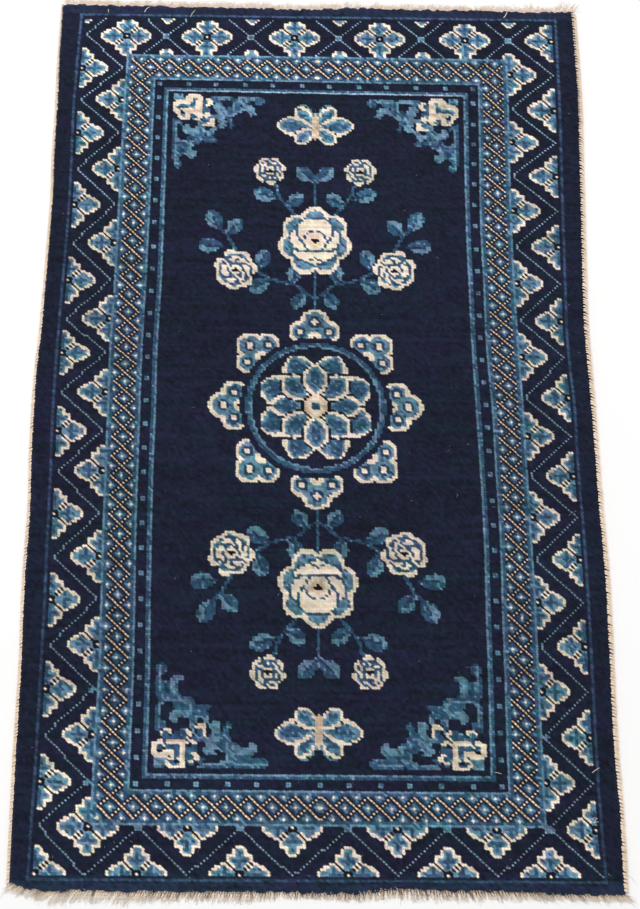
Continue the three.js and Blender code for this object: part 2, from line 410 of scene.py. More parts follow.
# The field's own design is drawn on one quarter of the field and repeated in the other three.
# Layers tell how far in from a form's edge each yarn begins.
fieldPlan = {
    "centre": (104, 189),
    "rowShare": 0.912,  # a row is this much of a column's width
    "clearing": 28.2,
    "rings": ((26.2, 24.8, "M"), (24.8, 23.8, "L")),
    "cloudRadius": 32.0,
    "cloudLobes": ((2.6, 0.0, 4.6), (-1.6, 5.2, 3.9), (-1.6, -5.2, 3.9)),  # out, aside, radius
    "cloudDiscs": ((1, 0.9, "C"), (1, -0.5, "L"), (0, 2.2, "D"), (0, 1.2, "C")),  # share of it, more
    "petals": ((22.5, 7.0, 22.6, 6.2), (0.0, 3.0, 17.0, 5.0)),  # first turn, from, to, half width
    "petalLayers": ((-0.8, "."), (0, "C"), (1.3, "L"), (3.0, "M")),
    "heart": ((5.4, "K"), (4.7, "T"), (3.0, "C"), (1.5, "M")),
    "blossoms": ((0, 68, 13.5, 90), (31, 56, 7.8, 20), (18, 98, 5.8, 60)),  # place, radius, turn
    "blossomRings": ((0.66, 0.42, "L"), (0.36, 0.36, "C"), (0, 0.3, "T")),  # out, size, body
    "blossomPetals": 7,
    "blossomLines": (0.9, 1.4),  # width of the dark and of the cream line round a petal
    "blossomHeart": 1.1,
    "stems": (
        ((0, 36), (0, 96)), ((0, 44), (8, 50), (17, 52), (27, 58), (36, 72)),
        ((7, 78), (14, 86), (17, 96)),
    ),
    "stemWidth": 0.6,
    "leaves": (  # place, turn, length, half width
        (9, 50, 100, 9, 2.7), (17, 52, -28, 10, 2.9), (22, 56, 108, 9, 2.7), (36, 66, 0, 10, 2.9),
        (35, 70, 130, 9, 2.7), (37, 72, 60, 10, 2.9), (15, 86, 15, 10, 2.8), (12, 83, 150, 9, 2.6),
        (0, 93, 42, 10, 2.8), (4, 47, -58, 8, 2.5),
    ),
    "leafEdge": 0.2,  # how far a leaf swells past its outline
    "leafSplit": 0.55,  # from its middle to its darker half
    "vein": (0.7, 0.5),  # share of the leaf's length, half width
    "butterfly": 117,
    "butterflyLines": (  # body and feeler: places, half width, yarn
        (((0, -4), (0, 6)), 1.1, "T"), (((0.6, 6), (3, 10), (6, 11)), 0.5, "L"),
    ),
    "wings": ((52, 12, 3.6), (8, 15, 4.2), (-40, 10, 3.2)),  # turn, length, half width
    "wingLayers": ((-0.5, "."), (-0.2, "C"), (1.0, "L"), (2.4, "M")),
}
across = np.abs(columnOf - fieldPlan["centre"][0])
along = np.abs(rowOf - fieldPlan["centre"][1]) * fieldPlan["rowShare"]
outOfReach = 1000.0


def cosAndSin(turn):
    return math.cos(math.radians(turn)), math.sin(math.radians(turn))


def inLocal(x, y, turn):
    c, s = cosAndSin(turn)
    over, up = across - x, along - y
    return over * c + up * s, up * c - over * s


def petalDepth(x, y, turn, start, end, halfWidth, fullness=0.75):
    reach, aside = inLocal(x, y, turn)
    share = np.clip((reach - start) / (end - start), 0.0, 1.0)
    hull = np.abs(aside) - np.sin(np.pi * share**1.25) ** fullness * halfWidth
    return np.where((share <= 0.0) | (share >= 1.0), outOfReach, hull)


def discDepth(x, y, radius):
    return np.hypot(across - x, along - y) - radius


def onStem(points, halfWidth):
    nearest = np.full(chartShape, outOfReach)
    for (xa, ya), (xb, yb) in zip(points[:-1], points[1:]):
        dx, dy = xb - xa, yb - ya
        share = np.clip(((across - xa) * dx + (along - ya) * dy) / (dx * dx + dy * dy), 0, 1)
        nearest = np.minimum(nearest, np.hypot(across - xa - share * dx, along - ya - share * dy))
    return nearest < halfWidth


def tieDepths(depth, layers):
    for inset, yarn in layers:
        tie(depth < -inset, yarn)


def tieLeaf(x, y, turn, length, halfWidth):
    leaf = petalDepth(x, y, turn, 0, length, halfWidth) < fieldPlan["leafEdge"]
    tie(leaf, "L")
    tie(leaf & (inLocal(x, y, turn)[1] > fieldPlan["leafSplit"]), "M")
    c, s = cosAndSin(turn)
    share, width = fieldPlan["vein"]
    tie(onStem([(x, y), (x + c * length * share, y + s * length * share)], width), "D")


def tieBlossom(x, y, radius, turn):
    count, (darkLine, creamLine) = fieldPlan["blossomPetals"], fieldPlan["blossomLines"]
    for ring, (reach, size, body) in enumerate(fieldPlan["blossomRings"]):
        for k in range(count if reach else 1):
            c, s = cosAndSin(turn + 360 / count * (k + 0.5 * ring))
            depth = discDepth(x + c * reach * radius, y + s * reach * radius, size * radius)
            if ring:
                tie(depth < darkLine, "M")
            tieDepths(depth, ((0, "C"), (creamLine, body)))
    tie(discDepth(x, y, fieldPlan["blossomHeart"]) < 0, "K")


def tieButterfly(y):
    for turn, length, halfWidth in fieldPlan["wings"]:
        tieDepths(petalDepth(0.5, y, turn, 0, length, halfWidth, 0.6), fieldPlan["wingLayers"])
    for points, width, yarn in fieldPlan["butterflyLines"]:
        tie(onStem([(over, y + up) for over, up in points], width), yarn)


def tieMedallion():
    plan = fieldPlan
    radius = np.hypot(across, along)
    for turn in (0, 45, 90):
        c, s = cosAndSin(turn)
        lobes = [(plan["cloudRadius"] + out, aside, size) for out, aside, size in plan["cloudLobes"]]
        for share, more, yarn in plan["cloudDiscs"]:
            for out, aside, size in lobes:
                x, y = out * c - aside * s, out * s + aside * c
                tie(discDepth(x, y, share * size + more) < 0, yarn)
    for outer, inner, yarn in ((plan["clearing"], 0, "."),) + plan["rings"]:
        tie((radius < outer) & (radius >= inner), yarn)
    for first, start, end, halfWidth in plan["petals"]:
        for turn in (first, first + 45, first + 90):
            tieDepths(petalDepth(0, 0, turn, start, end, halfWidth), plan["petalLayers"])
    for size, yarn in plan["heart"]:
        tie(radius < size, yarn)


def tieFieldDesign():
    plan = fieldPlan
    inField = insideFrame("field")
    border = knots.copy()
    for points in plan["stems"]:
        tie(onStem(points, plan["stemWidth"]), "M")
    for leaf in plan["leaves"]:
        tieLeaf(*leaf)
    for blossom in plan["blossoms"]:
        tieBlossom(*blossom)
    tieButterfly(plan["butterfly"])
    tieMedallion()
    knots[~inField] = border[~inField]


# Where the rug's edges and border lines run, in mm, in the frame the rug was measured in.
sideRows = np.array((  # y, left edge, right edge
    (622, -374.0, 374.5), (530, -374.6, 376.2), (455, -373.4, 376.8), (380, -373.8, 374.4),
    (310, -372.6, 372.4), (215, -374.2, 369.6), (120, -376.6, 367.4), (40, -380.4, 369.6),
    (-60, -380.2, 371.8), (-135, -377.8, 373.0), (-235, -379.0, 376.2), (-340, -377.0, 375.6),
    (-440, -377.2, 374.6), (-537, -376.6, 376.8), (-623, -375.6, 376.8),
))[::-1]
headRows = np.array((  # x, y of the head end
    (-376, 622.4), (-300, 620.6), (-190, 618.2), (-100, 616.0), (-20, 613.4), (45, 615.4),
    (150, 613.2), (250, 611.4), (312, 608.6), (378, 608.8),
))
footRows = np.array((  # x, y of the foot end
    (-378, -610.6), (-355, -616.8), (-325, -621.0), (-290, -619.4), (-190, -621.4), (-60, -621.2),
    (40, -623.4), (95, -618.4), (160, -620.6), (240, -621.0), (300, -624.2), (379, -624.2),
))
lineColumns = (6, 26, 38, 44, 164, 170, 182, 202)
lineRows = np.array((  # y, then x of the border lines: guard, outer, inner, field, and back again
    (-610, -355.2, -280.4, -236.0, -214.5, 220.4, 242.2, 285.0, 356.4),
    (-549, -354.4, -280.0, -235.6, -214.2, 220.0, 241.4, 284.4, 354.0),
    (-445, -353.0, -279.5, -235.5, -214.0, 220.0, 241.0, 283.5, 352.5),
    (-360, -353.2, -278.0, -235.0, -214.5, 220.5, 241.5, 283.2, 352.6),
    (-270, -352.8, -279.0, -236.5, -216.5, 220.5, 241.5, 283.2, 352.6),
    (-180, -354.0, -280.5, -238.5, -218.0, 221.0, 242.0, 281.5, 351.5),
    (-90, -354.5, -281.0, -239.0, -219.0, 219.0, 239.5, 279.5, 348.5),
    (0, -356.0, -281.5, -239.5, -218.5, 216.0, 237.5, 278.0, 348.0),
    (90, -355.0, -282.0, -239.5, -219.0, 213.0, 232.5, 275.0, 343.0),
    (180, -352.5, -280.0, -237.5, -216.5, 211.5, 232.0, 273.0, 344.0),
    (270, -350.0, -279.0, -236.5, -216.0, 210.5, 230.5, 272.5, 345.5),
    (360, -349.3, -278.5, -236.0, -216.0, 211.0, 232.0, 273.2, 347.6),
    (460, -350.4, -277.2, -236.0, -216.0, 212.5, 234.0, 275.0, 349.5),
    (600, -346.2, -273.5, -233.5, -213.5, 212.5, 234.5, 275.3, 349.8),
))
levelRows = np.array((  # knot row, its y near the left side, its y near the right side
    (4, 603.9, 596.3), (25, 537.6, 529.2), (35, 505.6, 495.5), (43, 481, 470), (51, 455, 442),
    (59, 429.7, 416.2), (91, 325, 316), (123, 217.5, 212.5), (155, 112, 108), (187, 12.2, 4.7),
    (219, -94.7, -98.3), (251, -200.6, -204.8), (283, -308.9, -311.7), (315, -416.4, -419.7),
    (335, -481.6, -485.8), (347, -520.5, -525), (353, -541.6, -545.3), (373, -608.0, -610.6),
))
levelSides = (-252.0, 262.0)  # the x of those two places
firstSpan = (-373, 750)  # left edge and width, from which each knot's place is sought


# A smooth curve through a table's points.
def readTable(table, key, column):
    keys, values = table[:, 0], table[:, column]
    last = len(keys) - 1
    key = np.clip(key, keys[0], keys[-1])
    i = np.clip(np.searchsorted(keys, key) - 1, 0, last - 1)
    before, after = np.maximum(i - 1, 0), np.minimum(i + 2, last)
    a, b, span = values[i], values[i + 1], keys[i + 1] - keys[i]
    t = (key - keys[i]) / span
    slopeA = (b - values[before]) / (keys[i + 1] - keys[before]) * span
    slopeB = (values[after] - a) / (keys[after] - keys[i]) * span
    t2, t3 = t * t, t * t * t
    rise = (2 * t3 - 3 * t2 + 1) * a + (t3 - 2 * t2 + t) * slopeA
    return rise + (3 * t2 - 2 * t3) * b + (t3 - t2) * slopeB


def shiftToFrame():
    low, high = corners("knotted_pile")
    y = np.arange(sideRows[0, 0], sideRows[-1, 0])
    x = np.arange(-378.0, 378.0)
    edges = np.array((
        (readTable(sideRows, y, 1).min(), readTable(sideRows, y, 2).max()),
        (readTable(footRows, x, 1).min(), readTable(headRows, x, 1).max()),
    ))
    return (low[:2] + high[:2] - edges.sum(axis=1)) / 2


frameShift = shiftToFrame()


# Columns run from -0.5 at the left rim, rows from -0.5 at the head rim.
def placeKnots(column, row):
    x = firstSpan[0] + (column + 0.5) / chartPlan["columns"] * firstSpan[1]
    columns = (-0.5,) + lineColumns + (chartPlan["columns"] - 0.5,)
    firstRow, lastRow = levelRows[0, 0], levelRows[-1, 0]
    endRow = chartPlan["rows"] - 0.5
    for _ in range(3):  # x and y depend on each other, so they are sought in rounds
        left, right = readTable(levelRows, row, 1), readTable(levelRows, row, 2)
        y = left + (right - left) * (x - levelSides[0]) / (levelSides[1] - levelSides[0])
        atHead = np.clip((firstRow - row) / (firstRow + 0.5), 0, 1)
        atFoot = np.clip((row - lastRow) / (endRow - lastRow), 0, 1)
        y += (readTable(headRows, x, 1) - y) * atHead + (readTable(footRows, x, 1) - y) * atFoot
        lines = [readTable(sideRows, y, 1)]
        lines += [readTable(lineRows, y, k + 1) for k in range(len(lineColumns))]
        lines += [readTable(sideRows, y, 2)]
        for k in range(len(columns) - 1):
            share = (column - columns[k]) / (columns[k + 1] - columns[k])
            here = (share >= 0) & (share <= 1)
            x = np.where(here, lines[k] + (lines[k + 1] - lines[k]) * share, x)
    return x + frameShift[0], y + frameShift[1]


# Shader maths is written as expressions on wires.
class Wire:
    def __init__(self, tree, socket=None):
        self.tree, self.socket = tree, socket

    def make(self, kind, settings=None, sockets=None, output=0):
        node = self.tree.nodes.new(kind)
        for name, value in (settings or {}).items():
            setattr(node, name, value)
        for name, value in (sockets or {}).items():
            if isinstance(value, Wire):
                self.tree.links.new(value.socket, node.inputs[name])
            else:
                node.inputs[name].default_value = value
        return Wire(self.tree, node.outputs[output])

    def maths(self, operation, *values):
        return self.make("ShaderNodeMath", {"operation": operation}, dict(enumerate(values)))

    def __add__(self, other):
        return self.maths("ADD", self, other)

    def __sub__(self, other):
        return self.maths("SUBTRACT", self, other)

    def __rsub__(self, other):
        return self.maths("SUBTRACT", other, self)

    def __mul__(self, other):
        return self.maths("MULTIPLY", self, other)

    def __truediv__(self, other):
        return self.maths("DIVIDE", self, other)

    def __rtruediv__(self, other):
        return self.maths("DIVIDE", other, self)

    def __pow__(self, other):
        return self.maths("POWER", self, other)

    __radd__, __rmul__ = __add__, __mul__

    def wave(self):
        return 0.5 + 0.5 * self.maths("COSINE", self * (2 * math.pi))

    def clamped(self):
        return self.maths("MINIMUM", self.maths("MAXIMUM", self, 0.0), 1.0)

    def scaled(self, factor):
        return self.make("ShaderNodeVectorMath", {"operation": "SCALE"}, {0: self, "Scale": factor})

    def plus(self, other):
        return self.make("ShaderNodeVectorMath", {"operation": "ADD"}, {0: self, 1: other})

    def times(self, other):
        return self.make("ShaderNodeVectorMath", {"operation": "MULTIPLY"}, {0: self, 1: other})

    def blend(self, first, second):
        settings = {"data_type": "RGBA", "blend_type": "MIX", "clamp_factor": True}
        return self.make("ShaderNodeMix", settings, {0: self, 6: first, 7: second}, 2)

    def parts(self, kind="ShaderNodeSeparateXYZ"):
        first = self.make(kind, None, {0: self})
        outputs = first.socket.node.outputs
        return [Wire(self.tree, outputs[k]) for k in range(3)]

    def attribute(self, name, output="Vector"):
        return self.make("ShaderNodeAttribute", {"attribute_name": name}, None, output)

    def noise(self, vector, scale, detail=2.0, roughness=0.5, output="Fac"):
        sockets = {"Vector": vector, "Scale": scale, "Detail": detail, "Roughness": roughness}
        return self.make("ShaderNodeTexNoise", None, sockets, output)

    def bump(self, height, strength, distance):
        sockets = {"Height": height, "Strength": strength, "Distance": distance}
        return self.make("ShaderNodeBump", None, sockets)


def newFinish(name):
    material = bpy.data.materials.new(name)
    material.use_nodes = True
    surface = material.node_tree.nodes["Principled BSDF"]
    return material, surface, Wire(material.node_tree)


def setSockets(surface, wires, values):
    for name, wire in wires.items():
        wire.tree.links.new(wire.socket, surface.inputs[name])
    for name, value in values.items():
        surface.inputs[name].default_value = value


def readValues(layer, field, width=1, kind=np.float32):
    values = np.zeros(len(layer) * width, kind)
    layer.foreach_get(field, values)
    return values.reshape(-1, width) if width > 1 else values


def writeValues(layer, field, values):
    layer.foreach_set(field, np.ascontiguousarray(values, np.float32).ravel())


def readVertices(mesh):
    return readValues(mesh.vertices, "co", 3).astype(float)


def moveVertices(mesh, places):
    writeValues(mesh.vertices, "co", places * millimetre)
    mesh.update()


def putAttribute(mesh, name, kind, values):
    layer = mesh.attributes.new(name, kind, "POINT")
    field = {"FLOAT": "value", "FLOAT_VECTOR": "vector", "FLOAT_COLOR": "color"}[kind]
    writeValues(layer.data, field, values)


# The finish and the solids that a finished piece stands for. The slot is not used.
def dress(piece, finish, slot, *nodes):
    piece.data.materials.clear()
    piece.data.materials.append(finish)
    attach(piece, "root")
    if nodes:
        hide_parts(*nodes)
    print(piece.name, "made,", len(piece.data.polygons), "faces")
    return piece


# The pile: one point for each knot, ringed by a rim that turns down to the foundation.
pilePlan = {
    "top": 7.85,
    "rim": 5.4,
    "foot": 1.6,
    "blackDrop": 0.7,  # black yarn has rotted and lies lower
    "lumps": 0.18,
    "swell": 0.18,
    "lumpLimits": (-0.55, 0.45),
    "drift": 0.34,  # how far a knot strays from its place
    "driftLimit": 2.2,
    "rimDrift": 1.2,
    "rimTufts": (3, 0.7),  # columns that stray together, and how far
    "rimRough": (9, 0.3, 1.5),  # columns, and how rough the rim is there, least and most
    "rimLimits": (-3.2, 1.6),
    "spread": {"left": 2.1, "right": 2.6, "head": 1.6, "foot": 0.9},  # how far the rim leans out
    "sharpness": 4.0,
    "round": 1.2,  # how much a pale knot draws in from its corners
    "level": 0.96,  # of all yarn colours
    "fray": 0.9,
    "blueFray": 2.2,
    "notch": 1.0,  # how much painted shade lies in the gap beside a dark knot
    "ridge": 0.0,  # how plain the gap round every knot is
    "gap": (0.07, 0.25),  # where it begins, squared, and how soft it is
    # the colour of the painted shade in those gaps
    "shadow": (24, 24, 38),
    "fleck": 0.6,
    "tuftShade": (1.03, 0.2),  # how bright a knot's middle is, and the painted shade towards its corners
    "wallShade": 0.55,  # painted shade at the foot of the rim
    "relief": (0.6, 1.6),  # of the fibres, and of a knot's roundness
    "bump": (0.6, 1.1),  # strength, and depth in mm
    "wander": (0.3, 0.25),  # of a knot's outline, in columns and rows
    "wanderNoise": (1.7, 2.0, 0.6),  # scale, detail, roughness
    "fibreNoise": (3.1, 3.0, 0.65),
    "fibreStretch": (1.0, 2.6, 1.0),
    "yarns": {  # the two shades that a yarn drifts between, and its weight where yarns meet
        ".": ((26, 25, 51), (18, 31, 46), 1.0),
        "G": ((52, 62, 98), (44, 72, 92), 1.1),
        "K": ((20, 17, 28), (15, 19, 30), 0.92),
        "D": ((44, 60, 96), (34, 68, 92), 0.92),
        "M": ((60, 84, 122), (44, 92, 113), 0.95),
        "L": ((112, 135, 166), (86, 139, 153), 0.98),
        "C": ((243, 222, 209), (238, 227, 198), 1.22),
        "T": ((238, 206, 188), (228, 206, 172), 0.6),
        "Z": ((154, 172, 196), (122, 162, 178), 0.7),
    },
    "toneDrift": ((0.12, 1, 40), (0.12, 2.2, 6), (0.07, 30, 60)),  # how strong, rows, columns
    "hueDrift": ((0.24, 3, 12), (0.2, 1, 5)),
    "knotDrift": (0.13, 0.26),  # of single knots, in tone and in hue
    "unevenness": {
        ".": 2.0, "G": 4.0, "K": 1.0, "D": 2.6, "M": 2.8, "L": 2.6, "C": 0.8, "T": 1.4, "Z": 2.4,
    },
    "wornRows": (25, 95, 150, 300, 345),
    "wornEnds": (1.2, 1.05, 1.22),  # at the first two of these rows, and of the rest at the last
    "wearAndShade": {"D": 0.86, "M": 0.74, "L": 0.78, "C": 0.86, "T": 0.82, "Z": 0.52},  # in the middle
    "paleRows": ((157, 0.16), (158, 0.10), (309, 0.2), (310, 0.12)),
    "headEnd": (4, 1.9),  # rows bleached by light, and how much
    "footEnd": (370, 4, 0.9),  # from here on, over so many rows
    "greenRows": (371, 0.35),  # from here on, the second shade
    "cornerRows": (92, 290),  # the spandrels end and begin here
    "cornerTones": {"T": 0.75, "C": 0.88},
    "guardFade": ((4, 30, 120, 360, 378), (1.65, 1.3, 1.1, 0.85, 0.5)),  # rows, tone
    "toneLimits": (0.45, 2.9),
}
yarnLayers = {"yarnDark": "KDGM", "yarnPale": "LCTZ"}  # the yarns that each attribute places
random = np.random.default_rng(41)


# Values that change slowly, over so many rows and columns.
def patches(rowStep, columnStep):
    rows, columns = chartShape
    coarse = random.normal(size=(int(rows / rowStep) + 3, int(columns / columnStep) + 3))
    atRow, atColumn = np.arange(rows) / rowStep, np.arange(columns) / columnStep
    wide = np.array([np.interp(atColumn, np.arange(coarse.shape[1]), line) for line in coarse])
    return np.array([np.interp(atRow, np.arange(len(coarse)), line) for line in wide.T]).T


def knotTones():
    plan, rows = pilePlan, np.arange(chartShape[0])[:, None]
    uneven = np.array([plan["unevenness"][name] for name in chartPlan["yarns"]])[knots]
    tone = 1 + sum(gain * patches(*reach) for gain, *reach in plan["toneDrift"])
    tone += plan["knotDrift"][0] * uneven * random.normal(size=chartShape)
    for row, gain in plan["paleRows"]:
        tone[row] += gain * (0.6 + 0.4 * patches(1, 30)[row])
    (headRow, bleached), (footRow, footReach, sunned) = plan["headEnd"], plan["footEnd"]
    tone *= np.where(rows < headRow, bleached, 1.0)
    tone *= 1 + sunned * np.clip((rows - footRow) / footReach, 0, 1)
    head, below, foot = plan["wornEnds"]
    for name, gain in plan["wearAndShade"].items():
        fade = np.interp(rows, plan["wornRows"], (head, below, gain, gain, foot * gain))
        tone *= np.where(tiedIn(name), fade, 1.0)
    top, bottom = plan["cornerRows"]
    inCorner = insideFrame("field") & ((rowOf < top) | (rowOf > bottom))
    for name, gain in plan["cornerTones"].items():
        tone[inCorner & tiedIn(name)] *= gain
    tone *= np.where(tiedIn("G"), np.interp(rows, *plan["guardFade"]), 1.0)
    hue = 0.5 + sum(gain * patches(*reach) for gain, *reach in plan["hueDrift"])
    hue += plan["knotDrift"][1] * random.normal(size=chartShape)
    hue += np.where(rows > plan["greenRows"][0], plan["greenRows"][1], 0.0)
    return np.clip(tone, *plan["toneLimits"]), np.clip(hue, 0, 1)


# How much a pale knot stands alone in the dark, so that painted shade shows in the gap round it.
def loneKnots():
    dark = tiedIn(".K").astype(float)
    padded = np.pad(dark, 1, mode="edge")
    rows, columns = chartShape
    ring = sum(padded[i:i + rows, j:j + columns] for i in range(3) for j in range(3)) - dark
    beside = sum(padded[i:i + rows, j:j + columns] for i, j in ((0, 1), (2, 1), (1, 0), (1, 2)))
    return np.clip(ring / 8 * 1.5, 0, 1) * (1 - dark) * np.clip(beside / 2 - 1, 0.4, 1)


# Faces that are cut the other way, so that the middles of the small diamonds are round.
def besideMiddles(mesh):
    rows, columns = chartShape
    x, y = readValues(mesh.polygons, "center", 3).astype(float).T[:2]
    over, down = (x + 1) / 2 * (columns + 1), (1 - y) / 2 * (rows + 1)
    middles = np.pad(diamondMiddles, 1)
    before = middles[np.ceil(down - 0.01).astype(int), np.ceil(over - 0.01).astype(int)]
    return before | middles[np.floor(down + 0.01).astype(int), np.floor(over + 0.01).astype(int)]


# The grid's own places tell each point's knot: left to right, and from the head down. The lower
# points are the rim's foot.
def addKnotGrid(name):
    rows, columns = chartShape
    deselectAll()
    bpy.ops.mesh.primitive_grid_add(
        x_subdivisions=columns + 1, y_subdivisions=rows + 1, size=2, enter_editmode=True
    )
    piece = bpy.context.object
    piece.name = piece.data.name = name
    bpy.ops.mesh.select_mode(type="VERT")
    bpy.ops.mesh.select_all(action="SELECT")
    bpy.ops.mesh.region_to_loop()
    bpy.ops.mesh.extrude_edges_move(TRANSFORM_OT_translate={"value": (0, 0, -1)})
    bpy.ops.mesh.edge_face_add()
    bpy.ops.mesh.select_mode(type="FACE")
    bpy.ops.mesh.select_all(action="DESELECT")
    bpy.ops.object.mode_set(mode="OBJECT")
    places = readVertices(piece.data)
    over = np.round((places[:, 0] + 1) / 2 * (columns + 1)).astype(int)
    down = np.round((1 - places[:, 1]) / 2 * (rows + 1)).astype(int)
    low = places[:, 2] < -0.5
    piece.data.polygons.foreach_set("select", besideMiddles(piece.data))
    bpy.ops.object.mode_set(mode="EDIT")
    bpy.ops.mesh.quads_convert_to_tris(quad_method="FIXED", ngon_method="BEAUTY")
    bpy.ops.mesh.select_all(action="SELECT")
    bpy.ops.mesh.quads_convert_to_tris(quad_method="FIXED_ALTERNATE", ngon_method="BEAUTY")
    bpy.ops.mesh.normals_make_consistent(inside=False)
    bpy.ops.object.mode_set(mode="OBJECT")
    return piece, over, down, low


# A map with the face, the four walls and the underside apart.
def unfoldGrid(mesh, over, down, low):
    rows, columns = chartShape
    points = readValues(mesh.loops, "vertex_index", kind=np.int32)
    starts = readValues(mesh.polygons, "loop_start", kind=np.int32)
    totals = readValues(mesh.polygons, "loop_total", kind=np.int32)
    face = np.repeat(np.arange(len(starts)), totals)

    def ofFace(values, merge):
        return merge.reduceat(values[points].astype(float), starts)[face]

    u, v, deep = over[points] / (columns + 1), 1 - down[points] / (rows + 1), low[points]
    bottom = ofFace(low, np.minimum) > 0.5
    wall = ~bottom & (ofFace(low, np.maximum) > 0.5)
    places = np.stack((0.01 + 0.6 * u, 0.01 + 0.98 * v), 1)
    sides = (
        (ofFace(over, np.maximum) == 0, v), (ofFace(over, np.minimum) == columns + 1, v),
        (ofFace(down, np.maximum) == 0, u * 0.6), (ofFace(down, np.minimum) == rows + 1, u * 0.6),
    )
    for k, (side, run) in enumerate(sides):
        strip = np.stack((0.63 + 0.02 * k + 0.012 * deep, 0.01 + 0.98 * run), 1)
        places = np.where((wall & side)[:, None], strip, places)
    under = np.stack((0.72 + 0.27 * u, 0.01 + 0.44 * v), 1)
    places = np.where(bottom[:, None], under, places)
    while mesh.uv_layers:
        mesh.uv_layers.remove(mesh.uv_layers[0])
    writeValues(mesh.uv_layers.new(name="OFBake").data, "uv", places)


# The column and row of each point, and the rim half a knot beyond the last.
def pointPlaces(over, down):
    rows, columns = chartShape
    return np.clip(over - 1, -0.5, columns - 0.5), np.clip(down - 1, -0.5, rows - 0.5)


# Every point takes its knot's yarn and tone, and a point of the rim those of the knot beside it.
def putYarns(mesh, over, down, low, tone, hue):
    def atPoints(values):
        return np.pad(values, 1, mode="edge")[down, over]

    for layer, group in yarnLayers.items():
        masks = np.stack([atPoints(knotSizes * tiedIn(name)) for name in group], 1)
        putAttribute(mesh, layer, "FLOAT_COLOR", masks)
    putAttribute(mesh, "ground", "FLOAT", atPoints(tiedIn(".")))
    place = np.stack((*pointPlaces(over, down), 1.0 - low), 1)
    putAttribute(mesh, "knot", "FLOAT_VECTOR", place)
    for name, values in (("tone", tone), ("hue", hue), ("lonely", loneKnots())):
        putAttribute(mesh, name, "FLOAT", atPoints(values))


def woolFinish(name, plan):
    material, surface, wire = newFinish(name)
    knot = wire.attribute("knot")
    tone, hue, lonely = (wire.attribute(layer, "Fac") for layer in ("tone", "hue", "lonely"))
    stray = wire.noise(knot, *plan["wanderNoise"], "Color").parts("ShaderNodeSeparateColor")
    fibre = wire.noise(knot.times(plan["fibreStretch"]), *plan["fibreNoise"])
    masks = {".": wire.attribute("ground", "Fac")}
    for layer, group in yarnLayers.items():
        channels = wire.attribute(layer, "Color").parts("ShaderNodeSeparateColor")
        masks.update(zip(group, channels + [wire.attribute(layer, "Alpha")]))
    column, row, height = knot.parts()
    column = column + plan["wander"][0] * (stray[2] - 0.5)
    row = row + plan["wander"][1] * (stray[0] - 0.5)
    over, down = column - wire.maths("ROUND", column), row - wire.maths("ROUND", row)
    away = over * over + down * down
    total = colour = None  # each yarn's outline wanders with one channel of the noise
    for yarn, channel in zip(chartPlan["yarns"], (0, 1, 2, 1, 2, 0, 1, 2, 0)):
        first, second, weight = plan["yarns"][yarn]
        fray = plan["blueFray"] if yarn in "DML" else plan["fray"]
        bias = weight * (1 + fray * (stray[channel] - 0.5))
        if yarn in "LCTZ":
            bias = bias * (1 - plan["round"] * away)
        share = wire.maths("MAXIMUM", masks[yarn] * bias, 0.0) ** plan["sharpness"]
        shade = hue.blend(linear(*first, plan["level"]), linear(*second, plan["level"]))
        part = shade.scaled(share)
        total = share if total is None else total + share
        colour = part if colour is None else colour.plus(part)
    colour = colour.scaled(1 / wire.maths("MAXIMUM", total, 0.001))
    start, softness = plan["gap"]
    # Painted shade in the gap round a pale knot beside dark ones; on the back, the cotton weft between the
    # knots.
    gapShadeAndWeft = ((away - start) / softness).clamped() * (lonely * plan["notch"] + plan["ridge"])
    colour = gapShadeAndWeft.blend(colour, linear(*plan["shadow"], plan["level"]))
    # Painted shade: each knot darkens towards its corners, and the rim towards its foot.
    middle, loss = plan["tuftShade"]
    bright = tone * (middle - loss * away) * (1 + plan["fleck"] * (fibre - 0.5))
    colour = colour.scaled(bright * (plan["wallShade"] + (1 - plan["wallShade"]) * height))
    fuzz, roundness = plan["relief"]
    strength, depth = plan["bump"]
    relief = wire.bump(fuzz * fibre - roundness * away, strength, depth * millimetre)
    setSockets(
        surface,
        {"Base Color": colour, "Roughness": 0.8 + 0.2 * fibre, "Normal": relief},
        {"Specular IOR Level": 0.12, "Sheen Weight": 0.04, "Sheen Roughness": 0.6},
    )
    return material


def finishKnots(piece, grid, places, finish, *nodes):
    moveVertices(piece.data, np.stack(places, 1))
    unfoldGrid(piece.data, *grid)
    faceOutwards(piece)
    bpy.ops.object.shade_smooth_by_angle(angle=math.radians(70))
    return dress(piece, finish, "wool_pile", *nodes)


